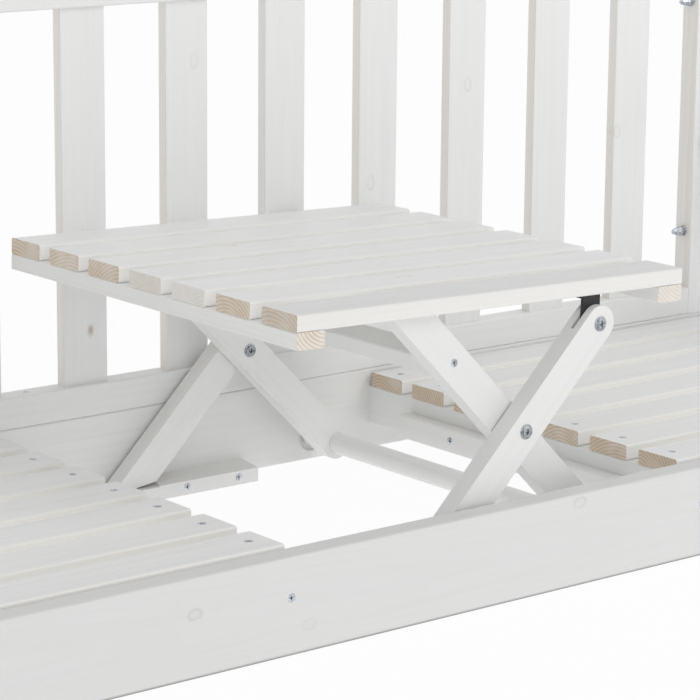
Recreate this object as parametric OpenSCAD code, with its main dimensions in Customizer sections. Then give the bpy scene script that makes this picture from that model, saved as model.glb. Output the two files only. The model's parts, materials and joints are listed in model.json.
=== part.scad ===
// Porch swing seat for two with a fold-up table between the seats.
// Millimetres. X runs along the seat, Y to the back, Z up.
// The origin is the middle of the seat's footprint, on the ground.

/* [Seat] */
// Whole length of the seat
seat_length = 1488; // [1200:10:1800]
// Width of the gap between the two seats, which the table fills when it is down
gap_width = 453.6; // [380:1:520]
// Seat slats in each seat, and in the table
slat_count = 7; // [4:1:9]
// Width of a seat slat
slat_width = 49.8; // [35:0.5:70]
// Thickness of a seat or table slat
slat_thickness = 15; // [12:0.5:22]
// Open space between two seat slats
slat_spacing = 16.2; // [6:0.5:25]
// Rounding along the edges of slats
slat_round = 2; // [1:0.5:6]
// Height of the seat's top above the front board's lower edge
seat_height = 88; // [70:1:120]

/* [Frame boards] */
// Thickness of the front board
front_thickness = 23; // [18:0.5:32]
// Height of the front board
front_height = 85; // [60:1:130]
// Thickness of the rear board, the back rails and the posts
rear_thickness = 24; // [18:0.5:32]
// Height of the rear board
rear_height = 85; // [60:1:130]
// How far the rear board's lower edge stays above the front board's
rear_lift = 6; // [0:1:15]
// Thickness of the beams beside the gap
beam_thickness = 28; // [20:1:40]
// Height of the beams beside the gap
beam_height = 39.5; // [30:1:60]
// Thickness of the two end boards
end_thickness = 19; // [15:1:30]
// Thickness of the battens that carry the lowered table
ledge_thickness = 15; // [10:1:20]
// Length of the battens that carry the lowered table
ledge_length = 314; // [200:1:400]
// Depth of the foot rests, front to back
foot_rest_depth = 28; // [22:0.5:30]
// Height of the foot rests at the boards
foot_rest_height = 17.5; // [10:0.5:22]
// How far their tops fall to the open side
foot_rest_fall = 3.5; // [0:0.5:6]

/* [Back and arms] */
// Slats in the back
back_slat_count = 11; // [7:1:15]
// Distance from one back slat to the next
back_slat_pitch = 120; // [90:0.1:140]
// Width of a back slat
back_slat_width = 50; // [35:0.5:70]
// Thickness of a back slat
back_slat_thickness = 12.5; // [10:0.5:18]
// Height of the lower back rail
lower_rail_height = 31; // [20:1:50]
// Height of the upper back rail
upper_rail_height = 45; // [30:1:70]
// Clear height between the back rails
back_clear_height = 363; // [250:1:500]
// Width of the posts along the seat
post_width = 50; // [35:1:70]
// Width of an arm rest
arm_width = 54; // [45:1:90]
// How far the arm rests stand out past the posts
arm_outset = 18; // [0:1:30]
// Thickness of an arm rest
arm_thickness = 20; // [15:1:30]
// Height of the arm rest's top above the seat
arm_height = 210; // [160:5:260]

/* [Folding table] */
// Length of the table along the seat
table_length = 442; // [380:1:518]
// Width of the battens under the table's ends
table_batten_width = 29; // [20:1:45]
// Height of the battens under the table's ends
table_batten_height = 15; // [12:1:25]
// Width of a table slat
table_slat_width = 48.2; // [35:0.1:70]
// Distance from one table slat to the next
table_slat_pitch = 64.6; // [50:0.1:80]
// Slope of the raised table, down towards its hinge end, in degrees
table_slope = 1.4; // [0:0.1:3]
// Depth of the hinge axis under the table's top
hinge_drop = 40.3; // [34:0.1:45]
// Width of a leg
leg_width = 33; // [25:1:45]
// Thickness of a leg
leg_thickness = 19; // [15:1:25]
// Distance from the dowel to the crossing of the legs
lower_arm = 157; // [120:1:180]
// Distance from the crossing to the table's hinge
upper_arm = 121.5; // [90:1:150]
// Slope of the legs when the table is up, in degrees
leg_slope = 45; // [35:0.1:55]
// Place of the dowel along the seat, right of the middle
dowel_x = 151.8; // [100:1:180]
// Height of the dowel
dowel_z = 31.5; // [20:1:40]
// Diameter of the dowel
dowel_diameter = 21.5; // [16:1:28]
// Distance of the legs from the front and rear boards
leg_clearance = 3; // [2:0.1:6]
// Gap between an outer and an inner leg
leg_gap = 1.5; // [0.5:0.1:4]
// Distance from the crossing to the rail between the inner legs
cross_rail_along = 95; // [70:1:120]
// Depth of the notches that the outer legs stand in
notch_depth = 4.5; // [1:0.5:6]

/* [Fasteners] */
// Head diameter of the wood screws
screw_head = 8; // [6:0.5:10]
// Shank diameter of the wood screws
screw_shank = 4; // [3:0.5:6]
// Diameter of the crossing bolts
bolt_diameter = 8; // [6:1:10]
// Head diameter of the crossing bolts and hinge pins
bolt_head = 13.5; // [10:0.5:18]
// How far those heads stand out
bolt_head_height = 1.6; // [1:0.1:2]
// Diameter of the hinge pins
pin_diameter = 6; // [5:0.5:8]
// Running clearance of bolts, pins and dowel, on the radius
running_fit = 0.1; // [0.05:0.01:0.1]
// Thickness of the hinge plates
plate_thickness = 3; // [2:0.5:4]
// Width of the hinge plates
plate_width = 20.5; // [16:0.5:30]
// Diameter of the eye bolts' shank
eye_bolt_diameter = 6; // [6:1:12]
// Inside diameter of the eyes that the chains hang from
eye_diameter = 18; // [12:1:25]
// Height of the lower eye bolts
lower_eye_height = 186; // [120:1:220]
// Height of the upper eye bolts in the back posts
upper_eye_height = 446; // [400:1:500]

/* [Hidden] */
$fn = 40;
white = [0.86, 0.86, 0.84];
steel = [0.62, 0.63, 0.65];
black = [0.08, 0.08, 0.08];
cut = 1;                       // overshoot of every cutter
snug = 0.05;                   // room round a fastener that stays put
half_length = seat_length / 2;
half_gap = gap_width / 2;
slat_pitch = slat_width + slat_spacing;
first_slat_y = front_thickness + 1;
rows_depth = (slat_count - 1) * slat_pitch + slat_width;
rear_y = first_slat_y + rows_depth + 4.2;
slat_z = seat_height - slat_thickness;
beam_z = slat_z - beam_height;
beam_length = rear_y - front_thickness;
rear_top = rear_lift + rear_height;
mid_y = (front_thickness + rear_y) / 2;
table_depth = (slat_count - 1) * table_slat_pitch + table_slat_width;
table_front_y = mid_y - table_depth / 2;
rail_mid_y = rear_y + rear_thickness / 2;
slat_length = half_length - half_gap;
inner_screw_x = half_gap + 18.5;
outer_screw_x = half_length - end_thickness / 2;
apron_screw_x = half_gap + 11;
ledge_top = seat_height - slat_thickness - table_batten_height;
ledge_height = ledge_top - beam_z;
post_inner_x = half_length - post_width;
upper_rail_z = rear_top + lower_rail_height + back_clear_height;
post_top = upper_rail_z + upper_rail_height;
tenon = 6;
arm_top = seat_height + arm_height;
arm_overhang = 22;
footprint_mid_y = (rear_y + rear_thickness - arm_overhang) / 2;
// The raised linkage, seen from the front
crossing_x = dowel_x - lower_arm * cos(leg_slope);
crossing_z = dowel_z + lower_arm * sin(leg_slope);
hinge_x = crossing_x + upper_arm * cos(leg_slope);
hinge_z = crossing_z + upper_arm * sin(leg_slope);
folded_slope = asin((seat_height - hinge_drop - dowel_z) / (lower_arm + upper_arm));
hinge_in_table = dowel_x - (lower_arm - upper_arm) * cos(folded_slope);
table_under = slat_thickness - hinge_drop;      // underside of the slats over the hinge axis, negative down
dowel_radius = dowel_diameter / 2;
dowel_depth = 14;              // how far the dowel goes into the front and rear boards
outer_front_y = front_thickness + leg_clearance;
inner_front_y = outer_front_y + leg_thickness + leg_gap;
outer_rear_y = rear_y - leg_clearance - leg_thickness;
inner_rear_y = outer_rear_y - leg_gap - leg_thickness;
cross_rail_width = 30;
cross_rail_thickness = 17;
cross_rail_shift = 2;
foot_rest_z = 3;
foot_rest_top = foot_rest_z + foot_rest_height;
foot_rest_left = -122;
foot_rest_right = 62;
notch_floor = foot_rest_top - notch_depth;
foot_clear = 0.4;
foot_ease = 27;                // the foot's right part is cut off its floor by this length
foot_ease_rise = 3.8;          // and this rise
foot_corner = 2.8;             // cut at its left corner
leg_reach = (crossing_z - notch_floor - foot_clear) / sin(leg_slope);
foot_x = crossing_x - leg_reach * cos(leg_slope);
notch_right = foot_x + leg_width / 2 / sin(leg_slope) + 4;
notch_slope = 6;               // length of the notch's right side
lip_height = 0.7;              // of the notch's left side
lip_length = 4;
hole_rim = 6;                  // shallow recess round the dowel's holes
hole_rim_depth = 4;
kerf_width = 4;
kerf_depth = 20;               // below the hinge axis
plate_shift = -4.3;
plate_below = 9;
flange_depth = 30;
screw_length = 34;
foot_screw_z = 11;
foot_screw_length = 40;
arm_screw_length = 41;
beam_screw_z = 50;             // screws through the boards into the gap beams
end_screw_z = [18, 40];        // and into the end boards
ledge_screw_spread = 78;
ledge_screw_rise = 12.5;
foot_screw_x = [-25, 38];
rail_screw_x = [185, 560];
eye_ring = 5;                  // thickness of the eye round its hole
eye_stand = 4;                 // distance of the eye from the post
eye_width = 9;
washer_thickness = 1.6;
nut_flats = 10;
nut_height = 6;
cap_height = 9.5;              // of the pointed cap over the nut

// ---- profiles and stock -------------------------------------------------

// A rectangle with true round corners, from the origin.
module round_rect(w, h, r) {
    translate([r, 0]) square([w - 2 * r, h]);
    translate([0, r]) square([w, h - 2 * r]);
    for (x = [r, w - r], y = [r, h - r]) translate([x, y]) circle(r);
}

// Bars with rounded long edges, laid along X, Y or Z.
module bar_x(l, w, h, r) rotate([90, 0, 90]) linear_extrude(l) round_rect(w, h, r);
module bar_y(l, w, h, r) translate([0, l, 0]) rotate([90, 0, 0]) linear_extrude(l) round_rect(w, h, r);
module bar_z(l, w, d, r) linear_extrude(l) round_rect(w, d, r);

// A plate whose outline lies in the XZ plane, from y to y + t.
module upright(y, t) translate([0, y + t, 0]) rotate([90, 0, 0]) linear_extrude(t) children();

// Round cutters and pins, from a point along an axis.
module rod_y(x, y, z, l, r) translate([x, y + l, z]) rotate([90, 0, 0]) cylinder(l, r, r);
module rod_x(x, y, z, l, r) translate([x, y, z]) rotate([0, 90, 0]) cylinder(l, r, r);

// A countersunk wood screw pointing down, its head flush at z = 0.
module wood_screw(length, room) {
    head = screw_head / 2 + room;
    shank = screw_shank / 2 + room;
    translate([0, 0, -(head - shank)]) cylinder(head - shank, shank, head);
    translate([0, 0, -length]) cylinder(length, shank, shank);
}
// Its hole, open above the head.
module screw_hole(length) {
    wood_screw(length + snug, snug);
    cylinder(cut, screw_head / 2 + snug, screw_head / 2 + snug);
}

// ---- places of the screws ----------------------------------------------

function row_y(i) = first_slat_y + i * slat_pitch;
function row_mid(i) = row_y(i) + slat_width / 2;
function table_row_y(i) = table_front_y + i * table_slat_pitch;
function table_row_mid(i) = table_row_y(i) + table_slat_width / 2;
function side_of(s) = s == "left" ? -1 : 1;

module at_seat_screws(side, i) for (x = [inner_screw_x, outer_screw_x])
    translate([side_of(side) * x, row_mid(i), seat_height]) children();

// Through the front and rear boards into the ends of the beams and end boards.
module at_board_screws(side) {
    for (x = [apron_screw_x, outer_screw_x], z = x == apron_screw_x ? [beam_screw_z] : end_screw_z) {
        translate([side_of(side) * x, 0, z]) rotate([90, 0, 0]) children();
        translate([side_of(side) * x, rear_y + rear_thickness, z]) rotate([-90, 0, 0]) children();
    }
}
module at_ledge_screws(side) for (y = [mid_y - ledge_screw_spread, mid_y + ledge_screw_spread])
    translate([side_of(side) * (half_gap - ledge_thickness), y, beam_z + ledge_screw_rise])
        rotate([0, -90 * side_of(side), 0]) children();
module at_front_foot_screws() for (x = foot_screw_x)
    translate([x, front_thickness + foot_rest_depth, foot_screw_z]) rotate([-90, 0, 0]) children();
module at_rear_foot_screws() for (x = foot_screw_x)
    translate([x, rear_y - foot_rest_depth, foot_screw_z]) rotate([90, 0, 0]) children();
// Down through the lower back rail into the rear board.
module at_rail_screws() for (x = rail_screw_x, s = [-1, 1])
    translate([s * x, rail_mid_y, rear_top + lower_rail_height]) children();
// Through the back posts into the arm rests' rear ends.
module at_arm_rear_screws() for (s = [-1, 1])
    translate([s * (half_length - post_width / 2), rear_y + rear_thickness, arm_top - arm_thickness / 2])
        rotate([-90, 0, 0]) children();
// Down through the arm rests into the arm posts.
module at_arm_front_screws() for (s = [-1, 1])
    translate([s * (half_length - post_width / 2), front_thickness / 2, arm_top]) children();
// Up through the front and rear boards into the posts.
module at_post_screws(y, z) for (x = [-1, 1]) translate([x * (half_length - post_width / 2), y, z]) rotate([180, 0, 0]) children();

// ---- frame --------------------------------------------------------------

module front_apron() color(white) difference() {
    translate([-half_length, 0, 0]) bar_x(seat_length, front_thickness, front_height, 2);
    for (s = ["left", "right"]) at_board_screws(s) screw_hole(front_thickness + screw_length);
    rod_y(dowel_x, front_thickness - dowel_depth, dowel_z, dowel_depth + cut, dowel_radius + running_fit);
    rod_y(dowel_x, front_thickness - hole_rim_depth, dowel_z, hole_rim_depth + cut, dowel_radius + hole_rim);
    at_post_screws(front_thickness / 2, 0) screw_hole(front_height + cut);
    at_front_foot_screws() screw_hole(foot_screw_length + cut);
}

module rear_apron() color(white) difference() {
    translate([-half_length, rear_y, rear_lift]) bar_x(seat_length, rear_thickness, rear_height, 2);
    for (s = ["left", "right"]) at_board_screws(s) screw_hole(rear_thickness + screw_length);
    rod_y(dowel_x, rear_y - cut, dowel_z, dowel_depth + cut, dowel_radius + running_fit);
    rod_y(dowel_x, rear_y - cut, dowel_z, hole_rim_depth + cut, dowel_radius + hole_rim);
    at_rail_screws() screw_hole(lower_rail_height + screw_length);
    at_post_screws(rail_mid_y, rear_lift) screw_hole(rear_height + cut);
    at_rear_foot_screws() screw_hole(foot_screw_length + cut);
}

module end_board(side) color(white) difference() {
    translate([side == "left" ? -half_length : half_length - end_thickness, front_thickness, 0])
        bar_y(beam_length, end_thickness, slat_z, 2);
    at_board_screws(side) screw_hole(front_thickness + screw_length);
    for (i = [0:slat_count - 1]) at_seat_screws(side, i) screw_hole(screw_length);
}

module gap_beam(side) color(white) difference() {
    translate([side == "left" ? -half_gap - beam_thickness : half_gap, front_thickness, beam_z])
        bar_y(beam_length, beam_thickness, beam_height, 1.5);
    at_board_screws(side) screw_hole(front_thickness + screw_length);
    for (i = [0:slat_count - 1]) at_seat_screws(side, i) screw_hole(screw_length);
    at_ledge_screws(side) screw_hole(screw_length);
}

module ledge(side) color(white) difference() {
    translate([side == "left" ? -half_gap : half_gap - ledge_thickness, mid_y - ledge_length / 2, beam_z])
        bar_y(ledge_length, ledge_thickness, ledge_height, 2);
    at_ledge_screws(side) screw_hole(screw_length);
}

// The outer leg's foot stands in the notch between the slope and the low lip.
module foot_rest_outline() polygon([
    [foot_rest_left, foot_rest_z], [foot_rest_right, foot_rest_z], [foot_rest_right, foot_rest_top],
    [notch_right + notch_slope, foot_rest_top], [notch_right, notch_floor],
    [foot_rest_left + lip_length, notch_floor], [foot_rest_left + lip_length, notch_floor + lip_height],
    [foot_rest_left, notch_floor + lip_height],
]);
// Its top falls away from the board that it is screwed to, which lies at y = 0.
module foot_rest_stock(direction) intersection() {
    upright(direction > 0 ? 0 : -foot_rest_depth, foot_rest_depth) foot_rest_outline();
    translate([foot_rest_left, 0, 0]) rotate([90, 0, 90]) linear_extrude(foot_rest_right - foot_rest_left) polygon([
        [0, foot_rest_z], [direction * foot_rest_depth, foot_rest_z],
        [direction * foot_rest_depth, foot_rest_top - foot_rest_fall], [0, foot_rest_top],
    ]);
}
module foot_rest_front() color(white) difference() {
    translate([0, front_thickness, 0]) foot_rest_stock(1);
    at_front_foot_screws() screw_hole(foot_screw_length + cut);
}
module foot_rest_rear() color(white) difference() {
    translate([0, rear_y, 0]) foot_rest_stock(-1);
    at_rear_foot_screws() screw_hole(foot_screw_length + cut);
}

module seat_slat(side, i) color(white) difference() {
    translate([side == "left" ? -half_length : half_gap, row_y(i), slat_z])
        bar_x(slat_length, slat_width, slat_thickness, slat_round);
    at_seat_screws(side, i) screw_hole(screw_length);
}

// ---- back and arms ------------------------------------------------------

module at_back_slats() for (i = [0:back_slat_count - 1])
    translate([(i - (back_slat_count - 1) / 2) * back_slat_pitch - back_slat_width / 2,
               rail_mid_y - back_slat_thickness / 2, 0]) children();

module mortises(z) at_back_slats() translate([-snug, -snug, z])
    cube([back_slat_width + 2 * snug, back_slat_thickness + 2 * snug, tenon + cut]);

module back_lower_rail() color(white) difference() {
    translate([-post_inner_x, rear_y, rear_top]) bar_x(2 * post_inner_x, rear_thickness, lower_rail_height, 2);
    mortises(rear_top + lower_rail_height - tenon);
    at_rail_screws() screw_hole(lower_rail_height + screw_length);
}

module back_upper_rail() color(white) difference() {
    translate([-post_inner_x, rear_y, upper_rail_z]) bar_x(2 * post_inner_x, rear_thickness, upper_rail_height, 2);
    mortises(upper_rail_z - cut);
}

module back_slats() color(white) at_back_slats()
    translate([0, 0, rear_top + lower_rail_height - tenon + snug])
        bar_z(back_clear_height + 2 * (tenon - snug), back_slat_width, back_slat_thickness, 1.5);

module eye_holes(side, y, heights) for (z = heights)
    rod_x(side == "left" ? -half_length - cut : post_inner_x - cut, y, z, post_width + 2 * cut, eye_bolt_diameter / 2 + snug);

module back_post(side) color(white) difference() {
    translate([side == "left" ? -half_length : post_inner_x, rear_y, rear_top])
        bar_z(post_top - rear_top, post_width, rear_thickness, 2);
    eye_holes(side, rail_mid_y, [lower_eye_height, upper_eye_height]);
    at_post_screws(rail_mid_y, rear_lift) screw_hole(rear_height + screw_length);
    at_arm_rear_screws() screw_hole(rear_thickness + screw_length);
}

module arm_post(side) color(white) difference() {
    translate([side == "left" ? -half_length : post_inner_x, 0, front_height])
        bar_z(arm_top - arm_thickness - front_height, post_width, front_thickness, 2);
    eye_holes(side, front_thickness / 2, [lower_eye_height]);
    at_post_screws(front_thickness / 2, 0) screw_hole(front_height + screw_length);
    at_arm_front_screws() screw_hole(arm_screw_length + cut);
}

// Arm rest with a half-round front end; it butts against the back post.
module arm_rest_outline(side) {
    centre = side_of(side) * (half_length + arm_outset - arm_width / 2);
    front_y = -arm_overhang + arm_width / 2;
    translate([centre - arm_width / 2, front_y]) square([arm_width, rear_y - front_y]);
    translate([centre, front_y]) circle(arm_width / 2);
}
module arm_rest(side) color(white) difference() {
    translate([0, 0, arm_top - arm_thickness]) linear_extrude(arm_thickness) arm_rest_outline(side);
    at_arm_front_screws() screw_hole(arm_screw_length + cut);
    at_arm_rear_screws() screw_hole(rear_thickness + screw_length);
}

// ---- folding table: inner legs, which turn on the dowel ------------------

// Puts a child in a leg's own frame: origin at the crossing, +X towards its top end.
module along_outer() translate([crossing_x, crossing_z]) rotate(leg_slope) children();
module along_inner() translate([crossing_x, crossing_z]) rotate(180 - leg_slope) children();

// The top ends are cut to lie along the sloping underside of the table.
module below_table() translate([hinge_x, hinge_z]) rotate(-table_slope)
    translate([-table_length, -table_length - table_under - foot_clear]) square([2 * table_length, table_length]);

module inner_leg_outline() {
    reach = (crossing_z - dowel_z) / sin(leg_slope);
    top = (hinge_z - table_under - crossing_z) / sin(leg_slope) + leg_width;
    intersection() {
        along_inner() translate([-reach, -leg_width / 2]) square([reach + top, leg_width]);
        below_table();
    }
    translate([dowel_x, dowel_z]) circle(leg_width / 2);
}

module inner_leg(y) color(white) difference() {
    upright(y, leg_thickness) inner_leg_outline();
    rod_y(dowel_x, y - cut, dowel_z, leg_thickness + 2 * cut, dowel_radius + snug);
    rod_y(crossing_x, y - cut, crossing_z, leg_thickness + 2 * cut, bolt_diameter / 2 + snug);
    at_cross_rail_screws() screw_hole(leg_thickness + screw_length);
}

// Screws through the inner legs into both ends of the cross rail.
module at_cross_rail_screws() {
    x = crossing_x - cross_rail_along * cos(leg_slope);
    z = crossing_z + cross_rail_along * sin(leg_slope);
    translate([x, inner_front_y, z]) rotate([90, 0, 0]) children();
    translate([x, inner_rear_y + leg_thickness, z]) rotate([-90, 0, 0]) children();
}

module inner_cross_rail() color(white) difference() {
    upright(inner_front_y + leg_thickness, inner_rear_y - inner_front_y - leg_thickness) along_inner()
        translate([cross_rail_along - cross_rail_width / 2, -cross_rail_thickness / 2 + cross_rail_shift])
            round_rect(cross_rail_width, cross_rail_thickness, 2);
    at_cross_rail_screws() screw_hole(leg_thickness + screw_length);
}

module pivot_dowel() color(white)
    rod_y(dowel_x, front_thickness - dowel_depth + 1, dowel_z,
          rear_y - front_thickness + 2 * (dowel_depth - 1), dowel_radius);

// Bolts through the crossings: fixed in the inner legs, running in the outer ones.
module crossing_bolts() color(steel) {
    bolt(outer_front_y, 1);
    bolt(inner_rear_y, 1);
}
module bolt(y, direction) {
    length = 2 * leg_thickness + leg_gap - 2;
    rod_y(crossing_x, y, crossing_z, length, bolt_diameter / 2);
    rod_y(crossing_x, y - bolt_head_height, crossing_z, bolt_head_height, bolt_head / 2);
}

module inner_frame_screws() color(steel) at_cross_rail_screws() wood_screw(leg_thickness + screw_length - 4, 0);

// ---- folding table: outer legs -------------------------------------------

module outer_leg_outline() {
    foot_half = leg_width / 2 / sin(leg_slope);
    difference() {
        union() {
            along_outer() translate([-leg_reach - leg_width, -leg_width / 2])
                square([leg_reach + leg_width + upper_arm, leg_width]);
            translate([hinge_x, hinge_z]) circle(leg_width / 2);
        }
        translate([foot_x - 4 * leg_width, notch_floor + foot_clear - 3 * leg_width]) square([8 * leg_width, 3 * leg_width]);
        // both sides of the foot are eased so that it can rock out of the notch
        translate([foot_x, notch_floor + foot_clear]) polygon([
            [foot_half - foot_ease, 0], [foot_half + foot_ease, 2 * foot_ease_rise], [foot_half + foot_ease, -cut],
            [-foot_half - cut, -cut], [-foot_half - cut, foot_corner],
            [-foot_half, foot_corner], [foot_corner - foot_half, 0],
        ]);
    }
}

module outer_leg(y) color(white) difference() {
    upright(y, leg_thickness) outer_leg_outline();
    rod_y(crossing_x, y - cut, crossing_z, leg_thickness + 2 * cut, bolt_diameter / 2 + running_fit);
    rod_y(hinge_x, y - cut, hinge_z, leg_thickness + 2 * cut, pin_diameter / 2 + snug);
    // kerf for the hinge plate
    upright(y + (leg_thickness - kerf_width) / 2, kerf_width) translate([hinge_x, hinge_z]) rotate(leg_slope)
        translate([-kerf_depth, -leg_width]) square([kerf_depth + 2 * leg_width, 2 * leg_width]);
}

module hinge_pins() color(steel) {
    rod_y(hinge_x, outer_front_y, hinge_z, leg_thickness - 0.5, pin_diameter / 2);
    rod_y(hinge_x, outer_front_y - bolt_head_height, hinge_z, bolt_head_height, bolt_head / 2);
    rod_y(hinge_x, outer_rear_y + 0.5, hinge_z, leg_thickness - 0.5, pin_diameter / 2);
    rod_y(hinge_x, outer_rear_y + leg_thickness, hinge_z, bolt_head_height, bolt_head / 2);
}

// ---- folding table: top --------------------------------------------------

// The table's own frame: its top at z = 0, its middle at x = 0, turned about the hinge.
module in_table() translate([hinge_x, 0, hinge_z]) rotate([0, table_slope, 0])
    translate([-hinge_in_table, 0, hinge_drop]) children();

module at_table_screws() for (x = [-1, 1], i = [0:slat_count - 1])
    translate([x * (table_length - table_batten_width) / 2, table_row_mid(i), -slat_thickness - table_batten_height])
        rotate([180, 0, 0]) children();

module at_plate_screws() {
    for (x = [-5, 5]) {
        translate([hinge_in_table + plate_shift + x, plate_front_y() + 20, -slat_thickness - plate_thickness]) rotate([180, 0, 0]) children();
        translate([hinge_in_table + plate_shift + x, plate_rear_y() + plate_thickness - 20, -slat_thickness - plate_thickness]) rotate([180, 0, 0]) children();
    }
}
function plate_front_y() = outer_front_y + (leg_thickness - plate_thickness) / 2;
function plate_rear_y() = outer_rear_y + (leg_thickness - plate_thickness) / 2;

module table_slat(i) color(white) in_table() difference() {
    translate([-table_length / 2, table_row_y(i), -slat_thickness])
        bar_x(table_length, table_slat_width, slat_thickness, slat_round);
    at_table_screws() screw_hole(table_batten_height + slat_thickness - 4);
    at_plate_screws() screw_hole(slat_thickness - 2);
}

module table_batten(side) color(white) in_table() difference() {
    translate([side == "left" ? -table_length / 2 : table_length / 2 - table_batten_width, table_front_y,
               -slat_thickness - table_batten_height])
        bar_y(table_depth, table_batten_width, table_batten_height, 2);
    at_table_screws() screw_hole(table_batten_height + slat_thickness - 4);
}

// Angle plate: an upright tongue in the leg's kerf and a flange under the end slat.
module hinge_plate(y, flange_y) color(black) in_table() difference() {
    union() {
        upright(y, plate_thickness) {
            translate([hinge_in_table + plate_shift - plate_width / 2, -hinge_drop])
                square([plate_width, hinge_drop - slat_thickness]);
            translate([hinge_in_table + plate_shift, -hinge_drop]) intersection() {
                circle(plate_width / 2);
                translate([-plate_width, -plate_below]) square([2 * plate_width, 2 * plate_below]);
            }
        }
        translate([hinge_in_table + plate_shift - plate_width / 2, flange_y, -slat_thickness - plate_thickness])
            cube([plate_width, flange_depth, plate_thickness]);
    }
    rod_y(hinge_in_table, y - cut, -hinge_drop, plate_thickness + 2 * cut, pin_diameter / 2 + running_fit);
    at_plate_screws() screw_hole(slat_thickness - 2);
}
module hinge_plate_front() hinge_plate(plate_front_y(), plate_front_y());
module hinge_plate_rear() hinge_plate(plate_rear_y(), plate_rear_y() + plate_thickness - flange_depth);

module table_screws() color(steel) in_table() {
    at_table_screws() wood_screw(table_batten_height + slat_thickness - 5, 0);
    at_plate_screws() wood_screw(slat_thickness - 3, 0);
}

// ---- fasteners of the frame ----------------------------------------------

module seat_screws() color(steel) for (s = ["left", "right"], i = [0:slat_count - 1])
    at_seat_screws(s, i) wood_screw(screw_length - 1, 0);

module frame_screws() color(steel) {
    for (s = ["left", "right"]) {
        at_board_screws(s) wood_screw(front_thickness + screw_length - 4, 0);
        at_ledge_screws(s) wood_screw(screw_length - 1, 0);
    }
    at_arm_front_screws() wood_screw(arm_screw_length, 0);
    at_arm_rear_screws() wood_screw(rear_thickness + screw_length - 1, 0);
    at_front_foot_screws() wood_screw(foot_screw_length, 0);
    at_rear_foot_screws() wood_screw(foot_screw_length, 0);
    at_rail_screws() wood_screw(lower_rail_height + screw_length - 1, 0);
    at_post_screws(front_thickness / 2, 0) wood_screw(front_height + screw_length - 1, 0);
    at_post_screws(rail_mid_y, rear_lift) wood_screw(rear_height + screw_length - 1, 0);
}

// Each bolt: a shank through the post, an eye outside it and a thread for the cap nut inside.
module at_eyes() for (s = [0, 1]) mirror([s, 0, 0]) {
    for (z = [lower_eye_height, upper_eye_height]) translate([half_length, rail_mid_y, z]) children();
    translate([half_length, front_thickness / 2, lower_eye_height]) children();
}
module eye_bolts() color(steel) at_eyes() {
    reach = post_width + washer_thickness + nut_height;
    outer = eye_diameter / 2 + eye_ring;
    rod_x(-reach, 0, 0, reach + eye_stand + eye_ring / 2, eye_bolt_diameter / 2);
    rod_x(0, 0, 0, eye_stand - 1, eye_bolt_diameter / 2 + 3);
    translate([eye_stand - 1 + outer, 0, 0]) difference() {
        rod_y(0, -eye_width / 2, 0, eye_width, outer);
        rod_y(0, -eye_bolt_diameter, 0, 2 * eye_bolt_diameter, eye_diameter / 2);
    }
}
// Cap nuts with their washers on the inner side of the posts.
module cap_nuts() color(steel) at_eyes() translate([-post_width, 0, 0]) difference() {
    union() {
        rod_x(-washer_thickness, 0, 0, washer_thickness, nut_flats / 2 + 1.3);
        translate([-washer_thickness - nut_height, 0, 0]) rotate([0, 90, 0])
            linear_extrude(nut_height) circle(nut_flats / 2 / cos(30), $fn = 6);
        translate([-washer_thickness - nut_height, 0, 0]) rotate([0, -90, 0])
            cylinder(cap_height, nut_flats / 2 - 0.3, 1);
    }
    rod_x(-washer_thickness - nut_height - 1, 0, 0, nut_height + washer_thickness + 1 + cut, eye_bolt_diameter / 2 + snug);
}

// Sub-parts are drawn with the front board's face at y = 0, and placed about the middle.
module placed() translate([0, -footprint_mid_y, 0]) children();

placed() front_apron();
placed() rear_apron();
for (s = ["left", "right"]) {
    placed() end_board(s);
    placed() gap_beam(s);
    placed() ledge(s);
    placed() back_post(s);
    placed() arm_post(s);
    placed() arm_rest(s);
    for (i = [1:slat_count]) placed() seat_slat(s, i - 1);
}
for (i = [1:slat_count]) placed() table_slat(i - 1);
placed() foot_rest_front();
placed() foot_rest_rear();
placed() back_lower_rail();
placed() back_upper_rail();
placed() back_slats();
placed() seat_screws();
placed() frame_screws();
placed() eye_bolts();
placed() cap_nuts();
placed() inner_leg(inner_front_y);  // inner_leg_front
placed() inner_leg(inner_rear_y);  // inner_leg_rear
placed() inner_cross_rail();
placed() pivot_dowel();
placed() crossing_bolts();
placed() inner_frame_screws();
placed() outer_leg(outer_front_y);  // outer_leg_front
placed() outer_leg(outer_rear_y);  // outer_leg_rear
placed() hinge_pins();
placed() table_batten("left");  // table_batten_left
placed() table_batten("right");  // table_batten_right
placed() hinge_plate_front();
placed() hinge_plate_rear();
placed() table_screws();
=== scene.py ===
"""Looks of a porch swing seat with a fold-up table between its two seats.

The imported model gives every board. This add-on glazes them, replaces the plain
fasteners with modelled ones, and sets a studio round the seat.
"""

import json
import math
from collections import namedtuple

import bmesh
import bpy
import numpy as np
from bpy.props import FloatProperty, FloatVectorProperty, IntProperty, PointerProperty
from mathutils import Matrix, Vector


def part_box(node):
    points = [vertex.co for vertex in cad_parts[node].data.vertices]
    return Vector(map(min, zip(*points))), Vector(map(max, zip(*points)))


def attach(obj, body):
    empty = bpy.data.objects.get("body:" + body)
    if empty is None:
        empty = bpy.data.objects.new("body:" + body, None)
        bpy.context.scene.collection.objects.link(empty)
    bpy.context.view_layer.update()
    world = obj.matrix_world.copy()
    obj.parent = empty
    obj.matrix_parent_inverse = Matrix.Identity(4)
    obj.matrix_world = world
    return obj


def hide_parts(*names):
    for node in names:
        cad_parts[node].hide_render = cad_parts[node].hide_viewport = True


bl_info = {
    "name": "Porch swing seat",
    "version": (1, 0, 0),
    "blender": (4, 5, 0),
    "location": "3D View > Sidebar > Swing Seat",
    "description": "Glazes the boards, fits the screws, bolts and nuts, and sets a studio",
    "category": "Object",
}

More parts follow.
